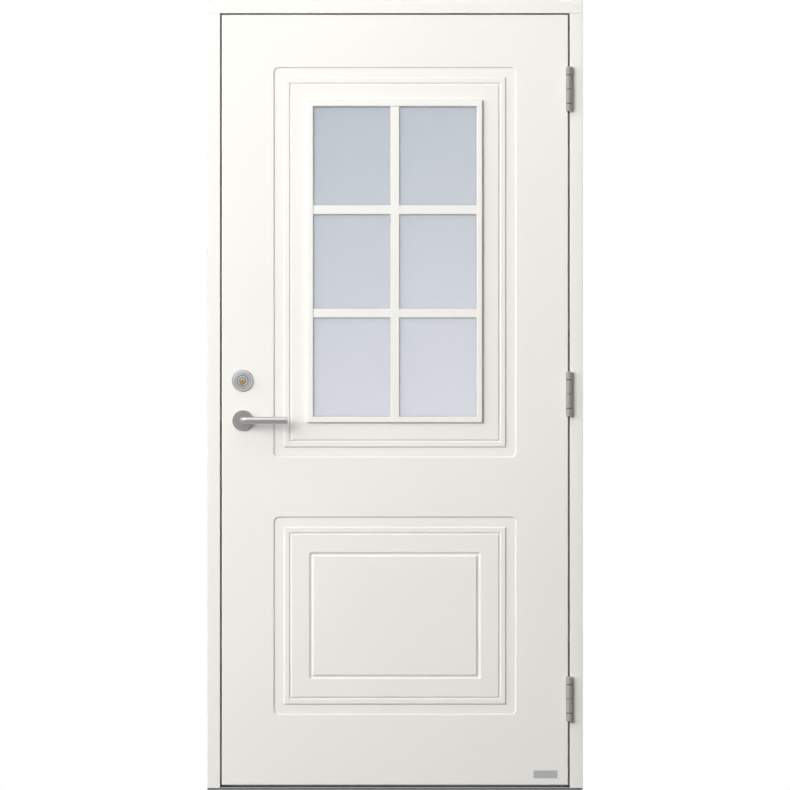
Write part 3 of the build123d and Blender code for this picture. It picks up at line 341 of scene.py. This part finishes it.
def foamed_polystyrene(name):
    """Expanded polystyrene: off-white beads about 4 mm across, pressed together."""
    material, tree, place = start_material(name)
    beads = add(tree, "ShaderNodeTexVoronoi", {"Vector": place, "Scale": 1 / (4 * MM)})
    tint = add(tree, "ShaderNodeMix",
               {0: beads.outputs["Distance"], 6: linear("#f5f3ea"), 7: linear("#dedac9")}, data_type="RGBA")
    bump = add(tree, "ShaderNodeBump",
               {"Height": beads.outputs["Distance"], "Distance": 0.4 * MM}, invert=True)
    shader = add(tree, "ShaderNodeBsdfPrincipled",
                 {"Base Color": tint.outputs[2], "Roughness": 0.85, "IOR": 1.5,
                  "Normal": bump.outputs["Normal"]})
    add(tree, "ShaderNodeOutputMaterial", {"Surface": shader.outputs["BSDF"]})
    return material


def etched_glass(name):
    """Etched float glass: a polished face over soft pale blue-grey that light comes through, painted lighter
    to the lower right.
    """
    material, tree, place = start_material(name)
    # Painted light: the colour is mixed lighter towards the pane's lower right
    down = add(tree, "ShaderNodeVectorMath", {0: place, 1: GLASS_PAINTED_LIGHT_WAY}, operation="DOT_PRODUCT")
    lighter = add(tree, "ShaderNodeMapRange",
                  {"Value": down.outputs["Value"], "From Min": GLASS_TOP, "From Max": GLASS_FOOT})
    tint = add(tree, "ShaderNodeMix",
               {0: lighter.outputs["Result"], 6: linear("#d1d6df"), 7: linear("#f1f0f7")}, data_type="RGBA")
    # Rollers leave slow waves in the face
    waves = add(tree, "ShaderNodeTexNoise", {"Vector": place, "Scale": 1 / (120 * MM), "Detail": 0.0})
    bump = add(tree, "ShaderNodeBump", {"Height": waves.outputs["Fac"], "Distance": 0.05 * MM})
    shader = add(tree, "ShaderNodeBsdfPrincipled",
                 {"Base Color": tint.outputs[2], "Roughness": 0.24, "IOR": 1.52, "Transmission Weight": 0.95,
                  "Coat Weight": 0.6, "Coat Roughness": 0.03, "Normal": bump.outputs["Normal"]})
    add(tree, "ShaderNodeOutputMaterial", {"Surface": shader.outputs["BSDF"]})
    return material


def float_glass(name):
    """Clear float glass: see-through, with a trace of blue-green and slow waves in its face."""
    material, tree, place = start_material(name)
    waves = add(tree, "ShaderNodeTexNoise", {"Vector": place, "Scale": 1 / (150 * MM), "Detail": 0.0})
    tint = add(tree, "ShaderNodeMix",
               {0: waves.outputs["Fac"], 6: linear("#f3f6f6"), 7: linear("#f5f7f7")}, data_type="RGBA")
    bump = add(tree, "ShaderNodeBump", {"Height": waves.outputs["Fac"], "Distance": 0.02 * MM})
    shader = add(tree, "ShaderNodeBsdfPrincipled",
                 {"Base Color": tint.outputs[2], "Roughness": 0.02, "IOR": 1.52, "Transmission Weight": 1.0,
                  "Normal": bump.outputs["Normal"]})
    add(tree, "ShaderNodeOutputMaterial", {"Surface": shader.outputs["BSDF"]})
    return material


WHITE_PAINT = sprayed_paint("sprayed_white_paint", "#eae9e5", "#efefec", 0.42, 0.004 * MM)
SILL_PAINT = painted_pine("grey_sill_paint", "#88898b", "#96979a")
WHITE_PROFILE = moulded_plastic("white_moulded_profile", "#ececea", "#efeeeb", 0.38, 1.2 * MM, 0.003 * MM,
                                1.46)
LEVER_STEEL = brushed_metal("satin_stainless_steel", "#a3a1a2", "#b7b5b5", 0.3, 18, 0.5, 0)
HINGE_STEEL = brushed_metal("satin_hinge_steel", "#aeaba6", "#bfbcb7", 0.22, 25, 1.0, 2)
PLATE_STEEL = brushed_metal("brushed_lock_steel", "#a3a3a1", "#b9b9b6", 0.33, 20, 0.5, 2)
ALUMINIUM = brushed_metal("anodised_aluminium", "#b4b5b6", "#c6c7c8", 0.36, 70, 0.9, 0)
ZINC = zinc_plated("zinc_plated_steel", "#9b9c98", "#c9cac6")
# Its two colours are the painted light and dark reflection rings
CHROME = chrome_with_painted_rings("chrome_with_painted_rings", "#9c9da0", "#dcdde0", 0.14)
BRASS = polished_brass("polished_brass", "#b3934c", "#d0b572", 0.2)
EPDM = moulded_plastic("black_epdm_rubber", "#19191a", "#252526", 0.7, 1.0 * MM, 0.02 * MM, 1.5)
NYLON = moulded_plastic("black_nylon", "#17171a", "#222224", 0.5, 0.8 * MM, 0.02 * MM, 1.53)
SPACER = moulded_plastic("grey_spacer_profile", "#5a5c5e", "#686a6c", 0.55, 1.0 * MM, 0.02 * MM, 1.5)
# Painted shade: the pale grey of the strips round the glazing frames draws a fine line of shade
SHADE_LINE_GREY = moulded_plastic("pale_grey_shade_line", "#b6b6b3", "#bebebb", 0.6, 1.0 * MM, 0.02 * MM, 1.5)
FOAM = foamed_polystyrene("expanded_polystyrene")
PINE = planed_pine("planed_pine")
ETCHED = etched_glass("etched_float_glass")
GLASS = float_glass("clear_float_glass")

FINISHES = [
    (WHITE_PAINT, "frame_head lock_jamb hinge_jamb frame_stops outer_skin inner_skin lock_stile hinge_stile "
                  "top_rail bottom_rail"),
    (SILL_PAINT, "sill_base"),
    (ALUMINIUM, "sill_plate"),
    (EPDM, "frame_seal outer_glazing_seal inner_glazing_seal"),
    (WHITE_PROFILE, "outer_glazing_frame inner_glazing_frame outer_muntins inner_muntins"),
    (LEVER_STEEL, "outer_lever inner_lever outer_rose inner_rose"),
    (HINGE_STEEL, "hinge_frame_halves hinge_leaf_halves hinge_pins hinge_top_caps hinge_bottom_caps"),
    (PLATE_STEEL, "strike_plate forend latch_bolt deadbolt"),
    (ZINC, "corner_screws fixing_sleeves strike_screws frame_hinge_screws leaf_hinge_screws lock_case "
           "forend_screws rose_screws cylinder_screws spindle follower"),
    (CHROME, "cylinder_ring cylinder_body thumb_turn_rose thumb_turn"),
    (BRASS, "key_plug"),
    (NYLON, "strike_box setting_blocks hinge_washers"),
    (SPACER, "glass_spacers"),
    (FOAM, "insulation_core"),
    (PINE, "light_rails light_stiles"),
    (ETCHED, "outer_pane"),
    (GLASS, "middle_pane inner_pane"),
]
for material, names in FINISHES:
    for name in names.split():
        for slot in nodes[name].material_slots:
            slot.material = material


# Pieces added to the door

def add_piece(name, shape, material, body):
    """A finished shape as a named piece that rides on a body."""
    mesh = bpy.data.meshes.new(name)
    bmesh.ops.recalc_face_normals(shape, faces=shape.faces)
    shape.to_mesh(mesh)
    shape.free()
    made = bpy.data.objects.new(name, mesh)
    bpy.context.scene.collection.objects.link(made)
    made.data.materials.append(material)
    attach(made, body)
    return made


def join_rings(shape, rings):
    """Skins a row of rings that have as many points each, and closes both ends."""
    for lower, upper in zip(rings, rings[1:]):
        for i in range(len(lower)):
            j = (i + 1) % len(lower)
            shape.faces.new((lower[i], lower[j], upper[j], upper[i]))
    shape.faces.new(reversed(rings[0]))
    shape.faces.new(rings[-1])


def make_plate():
    """The blank plate low on the leaf: thin metal with round corners and eased front edges."""
    shape = bmesh.new()
    width, height = PLATE_SIZE
    outline = []
    for across, up, turn in ((1, 1, 0), (-1, 1, 1), (-1, -1, 2), (1, -1, 3)):
        for i in range(CORNER_STEPS + 1):
            angle = math.radians(90 * (turn + i / CORNER_STEPS))
            outline.append((across * (width / 2 - PLATE_CORNER) + PLATE_CORNER * math.cos(angle),
                            up * (height / 2 - PLATE_CORNER) + PLATE_CORNER * math.sin(angle)))
    steps = ((0.0, 0.0), (PLATE_THICKNESS * STRAIGHT_SHARE, 0.0), (PLATE_THICKNESS, PLATE_EASE))
    rings = []
    for depth, ease in steps:
        across, up = 1 - 2 * ease / width, 1 - 2 * ease / height
        rings.append([shape.verts.new((PLATE_MIDDLE[0] + x * across, LEAF_FRONT - depth,
                                       PLATE_MIDDLE[1] + z * up)) for x, z in outline])
    join_rings(shape, rings)
    add_piece("blank_plate", shape, ALUMINIUM, "leaf")


def make_glazing_shade_lines():
    """The thin pale grey strip all round the outside of each glazing frame, which paints a fine line of shade
    there.
    """
    thin = SHADE_LINE_WIDTH / 2
    beside = GLAZING_WIDTH / 2
    middle = GLAZING_FOOT + GLAZING_HEIGHT / 2
    # Each length's middle, and half its width and height: over, under, left and right of the frame
    lengths = (
        (0.0, GLAZING_FOOT + GLAZING_HEIGHT + thin, beside + SHADE_LINE_WIDTH, thin),
        (0.0, GLAZING_FOOT - thin, beside + SHADE_LINE_WIDTH, thin),
        (-beside - thin, middle, thin, GLAZING_HEIGHT / 2),
        (beside + thin, middle, thin, GLAZING_HEIGHT / 2),
    )
    steps = ((0.0, 0.0), (SHADE_LINE_HEIGHT * STRAIGHT_SHARE, 0.0), (SHADE_LINE_HEIGHT, SHADE_LINE_EASE))
    for name, face, out in (("outer_frame_shade_line", LEAF_FRONT, -1), ("inner_frame_shade_line", LEAF_BACK, 1)):
        shape = bmesh.new()
        for x, z, across, up in lengths:
            rings = []
            for depth, ease in steps:
                rings.append([shape.verts.new((x + sx * (across - ease), face + out * depth,
                                               z + sz * (up - ease)))
                              for sx, sz in ((-1, -1), (1, -1), (1, 1), (-1, 1))])
            join_rings(shape, rings)
        add_piece(name, shape, SHADE_LINE_GREY, "leaf")


def make_hinge_shade_rings():
    """Dark rings that paint the fine lines of shade where each hinge's caps meet its barrel."""
    for name, body, rise in (("upper_hinge_shade_rings", "leaf", SHADE_RING_RISE),
                             ("lower_hinge_shade_rings", "frame", -SHADE_RING_RISE)):
        shape = bmesh.new()
        for middle in HINGE_MIDDLES:
            rings = []
            for height, radius in SHADE_RING_PROFILE:
                ring = []
                for i in range(SHADE_RING_SIDES):
                    angle = 2 * math.pi * i / SHADE_RING_SIDES
                    ring.append(shape.verts.new(((HINGE_AXIS[0] + radius * math.cos(angle)) * MM,
                                                 (HINGE_AXIS[1] + radius * math.sin(angle)) * MM,
                                                 (middle + rise + height) * MM)))
                rings.append(ring)
            join_rings(shape, rings)
        # Painted shade: the rings take the black nylon finish so that they show as dark lines
        add_piece(name, shape, NYLON, body)


def add_screw(shape, head, along, length, diameter, pitch):
    """One countersunk screw: a six-lobed recess in its head, and its thread as rings a pitch apart."""
    way = Vector(along).normalized()
    side = way.orthogonal().normalized()
    up = way.cross(side)
    shank = diameter / 2
    rim = HEAD_SHARE * shank
    neck = NECK_DEPTH_SHARE * diameter
    slot = RECESS_SHARE * rim
    # Depth along the screw, radius there, and how far the lobes stand out
    steps = [(RECESS_DEPTH_SHARE * diameter, slot * RECESS_FLOOR_SHARE, LOBE_SHARE), (0.0, slot, LOBE_SHARE),
             (0.0, rim, 0.0), (HEAD_RIM_SHARE * neck, rim, 0.0), (neck, NECK_SHARE * shank, 0.0)]
    depth = neck
    while depth + pitch < length - shank:
        steps += [(depth + pitch / 2, shank, 0.0), (depth + pitch, ROOT_SHARE * shank, 0.0)]
        depth += pitch
    steps.append((length, TIP_SHARE * shank, 0.0))
    rings = []
    for depth, radius, lobes in steps:
        ring = []
        for i in range(SCREW_SIDES):
            angle = 2 * math.pi * i / SCREW_SIDES
            reach = radius * (1 + lobes * math.cos(RECESS_LOBES * angle)) * MM
            ring.append(shape.verts.new(Vector(head) * MM + way * depth * MM
                                        + side * reach * math.cos(angle) + up * reach * math.sin(angle)))
        rings.append(ring)
    join_rings(shape, rings)


def make_screws():
    """Every screw that a person can see, in place of the plain ones, with its drive cut in its head."""
    hinge_rows = [middle + step for middle in HINGE_MIDDLES
                  for step in (-HINGE_SCREW_PITCH, 0.0, HINGE_SCREW_PITCH)]
    left, right, forward, down, up = (-1, 0, 0), (1, 0, 0), (0, -1, 0), (0, 0, -1), (0, 0, 1)
    # Node, body, diameter, length and pitch, then where each head is and which way its screw points
    sets = [
        ("strike_screws", "frame", WOOD_SCREW, 25, 1.8,
         [((-461, -20.5, z), left) for z in (938, 958, 1097, 1117)]),
        ("frame_hinge_screws", "frame", WOOD_SCREW, 28, 1.8, [((461, -28.5, z), right) for z in hinge_rows]),
        ("leaf_hinge_screws", "leaf", WOOD_SCREW, 32, 1.8, [((457, -27.5, z), left) for z in hinge_rows]),
        ("forend_screws", "leaf", WOOD_SCREW, 30, 1.8, [((-457, -20.5, z), right) for z in (919, 1137)]),
        ("rose_screws", "leaf", ROSE_SCREW, 75, 1.0, [((x, 18.5, 982), forward) for x in (-421, -383)]),
        ("cylinder_screws", "leaf", WOOD_SCREW, 55, 1.0, [((x, 18.5, 1091), forward) for x in (-411, -393)]),
        ("corner_screws", "frame", CORNER_SCREW, 90, 3.0,
         [((x, y, z), way) for z, way in ((2090, down), (0, up)) for x in (-478, 478) for y in (-26, 26)]),
    ]
    for node, body, diameter, length, pitch, places in sets:
        shape = bmesh.new()
        for head, way in places:
            add_screw(shape, head, way, length, diameter, pitch)
        made = add_piece("drilled_" + node, shape, ZINC, body)
        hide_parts(node)


make_plate()
make_glazing_shade_lines()
make_hinge_shade_rings()
make_screws()


# Studio

def make_floor():
    """A pale floor that keeps the door's soft shadow near its foot and runs out to plain white."""
    corners = [(x * FLOOR_HALF, y * FLOOR_HALF, 0) for x, y in ((-1, -1), (1, -1), (1, 1), (-1, 1))]
    mesh = bpy.data.meshes.new("studio_floor")
    mesh.from_pydata(corners, [], [(0, 1, 2, 3)])
    floor = bpy.data.objects.new("studio_floor", mesh)
    bpy.context.scene.collection.objects.link(floor)
    material, tree, place = start_material("studio_floor_vinyl")
    scuffs = add(tree, "ShaderNodeTexNoise", {"Vector": place, "Scale": 1 / (300 * MM), "Detail": 2.0})
    tint = add(tree, "ShaderNodeMix",
               {0: scuffs.outputs["Fac"], 6: linear("#f1f1f0"), 7: linear("#f7f7f6")}, data_type="RGBA")
    shader = add(tree, "ShaderNodeBsdfPrincipled",
                 {"Base Color": tint.outputs[2], "Roughness": 0.7, "Specular IOR Level": 0.1})
    # The camera sees it lifted to white where no shadow falls, and as plain white where it fades
    path = add(tree, "ShaderNodeLightPath")
    lift = add(tree, "ShaderNodeMath", {0: path.outputs["Is Camera Ray"], 1: FLOOR_LIFT},
               operation="MULTIPLY")
    glow = add(tree, "ShaderNodeEmission", {"Color": (1, 1, 1, 1), "Strength": lift.outputs["Value"]})
    lifted = add(tree, "ShaderNodeAddShader", {0: shader.outputs["BSDF"], 1: glow.outputs["Emission"]})
    distance = add(tree, "ShaderNodeVectorMath", {0: place}, operation="LENGTH")
    away = add(tree, "ShaderNodeMapRange",
                {"Value": distance.outputs["Value"], "From Min": FLOOR_FADES_OUT[0],
                 "From Max": FLOOR_FADES_OUT[1]})
    parts = add(tree, "ShaderNodeSeparateXYZ", {"Vector": place})
    across = add(tree, "ShaderNodeMath", {0: parts.outputs["X"]}, operation="ABSOLUTE")
    beside = add(tree, "ShaderNodeMapRange",
                 {"Value": across.outputs["Value"], "From Min": FLOOR_FADES_BESIDE[0],
                  "From Max": FLOOR_FADES_BESIDE[1]})
    behind = add(tree, "ShaderNodeMapRange",
                 {"Value": parts.outputs["Y"], "From Min": FLOOR_FADES_BEHIND[0],
                  "From Max": FLOOR_FADES_BEHIND[1]})
    corner = add(tree, "ShaderNodeMath", {0: beside.outputs["Result"], 1: behind.outputs["Result"]},
                 operation="MULTIPLY")
    faded = add(tree, "ShaderNodeMath", {0: corner.outputs["Value"], 1: away.outputs["Result"]},
                operation="MAXIMUM")
    seen = add(tree, "ShaderNodeMath", {0: faded.outputs["Value"], 1: path.outputs["Is Camera Ray"]},
               operation="MULTIPLY")
    white = add(tree, "ShaderNodeEmission", {"Color": (1, 1, 1, 1), "Strength": 1.0})
    mix = add(tree, "ShaderNodeMixShader",
              {0: seen.outputs["Value"], 1: lifted.outputs["Shader"], 2: white.outputs["Emission"]})
    add(tree, "ShaderNodeOutputMaterial", {"Surface": mix.outputs["Shader"]})
    floor.data.materials.append(material)
    # It takes shadows, but throws no light up at the door
    floor.visible_diffuse = False
    floor.visible_glossy = False


def make_world():
    """A white room: plain white to the camera, bright on the back of the door and dim on its front."""
    world = bpy.data.worlds.new("white_studio")
    bpy.context.scene.world = world
    world.use_nodes = True
    tree = world.node_tree
    tree.nodes.clear()
    way = add(tree, "ShaderNodeTexCoord").outputs["Generated"]
    # Its light on the door is dim in front, where the softboxes do the work
    parts = add(tree, "ShaderNodeSeparateXYZ", {"Vector": way})
    aside = add(tree, "ShaderNodeVectorMath", {0: way, 1: BACK_LIGHT_WAY}, operation="DOT_PRODUCT")
    behind = add(tree, "ShaderNodeMapRange",
                 {"Value": aside.outputs["Value"], "To Min": BACK_SHADE, "To Max": BACK_LIGHT})
    soft = add(tree, "ShaderNodeMapRange",
               {"Value": parts.outputs["Y"], "From Min": FRONT_TURNS_BACK[0], "From Max": FRONT_TURNS_BACK[1],
                "To Min": FRONT_LIGHT, "To Max": behind.outputs["Result"]})
    # Glossy faces mirror it as a sloping level with a bright patch
    slope = add(tree, "ShaderNodeVectorMath", {0: way, 1: MIRROR_SLOPE}, operation="DOT_PRODUCT")
    towards = add(tree, "ShaderNodeVectorMath", {0: way, 1: MIRROR_PATCH_WAY}, operation="DOT_PRODUCT")
    patch = add(tree, "ShaderNodeMapRange",
                {"Value": towards.outputs["Value"], "From Min": MIRROR_PATCH_EDGE[0],
                 "From Max": MIRROR_PATCH_EDGE[1], "To Min": MIRROR_LEVEL,
                 "To Max": MIRROR_LEVEL + MIRROR_PATCH}, interpolation_type="SMOOTHSTEP")
    mirrored = add(tree, "ShaderNodeMath", {0: patch.outputs["Result"], 1: slope.outputs["Value"]},
                   operation="ADD")
    path = add(tree, "ShaderNodeLightPath")
    straight = add(tree, "ShaderNodeMath",
                   {0: path.outputs["Is Camera Ray"], 1: path.outputs["Is Transmission Ray"]},
                   operation="MAXIMUM")
    level = add(tree, "ShaderNodeMix",
                {0: path.outputs["Is Glossy Ray"], 2: soft.outputs["Result"], 3: mirrored.outputs["Value"]})
    strength = add(tree, "ShaderNodeMix", {0: straight.outputs["Value"], 2: level.outputs[0], 3: 1.0})
    background = add(tree, "ShaderNodeBackground", {"Color": (1, 1, 1, 1), "Strength": strength.outputs[0]})
    add(tree, "ShaderNodeOutputWorld", {"Surface": background.outputs["Background"]})


def make_softbox(name, place, size, power):
    """A large soft lamp turned towards the door, which neither the camera nor a reflection shows."""
    data = bpy.data.lights.new(name, "AREA")
    data.shape = "RECTANGLE"
    data.size, data.size_y = size
    data.energy = power
    data.color = SOFTBOX_COLOUR
    lamp = bpy.data.objects.new(name, data)
    bpy.context.scene.collection.objects.link(lamp)
    lamp.location = place
    lamp.rotation_euler = (Vector(SOFTBOX_AIM) - Vector(place)).to_track_quat("-Z", "Y").to_euler()
    lamp.visible_camera = False
    lamp.visible_glossy = False


def make_camera():
    """The camera, far away on a long lens, so that the door's sides stay upright and hidden."""
    data = bpy.data.cameras.new("long_lens")
    data.lens = LENS
    data.sensor_width = SENSOR
    distance = VIEW_WIDTH * LENS / SENSOR
    data.clip_end = 2 * distance
    camera = bpy.data.objects.new("long_lens", data)
    bpy.context.scene.collection.objects.link(camera)
    camera.location = (0.0, FRAME_FRONT - distance, VIEW_MIDDLE)
    camera.rotation_euler = (math.radians(90), 0.0, 0.0)
    bpy.context.scene.camera = camera


make_camera()
make_floor()
make_world()
for softbox in SOFTBOXES:
    make_softbox(*softbox)
bpy.context.scene.view_settings.view_transform = "Standard"

bpy.context.view_layer.update()
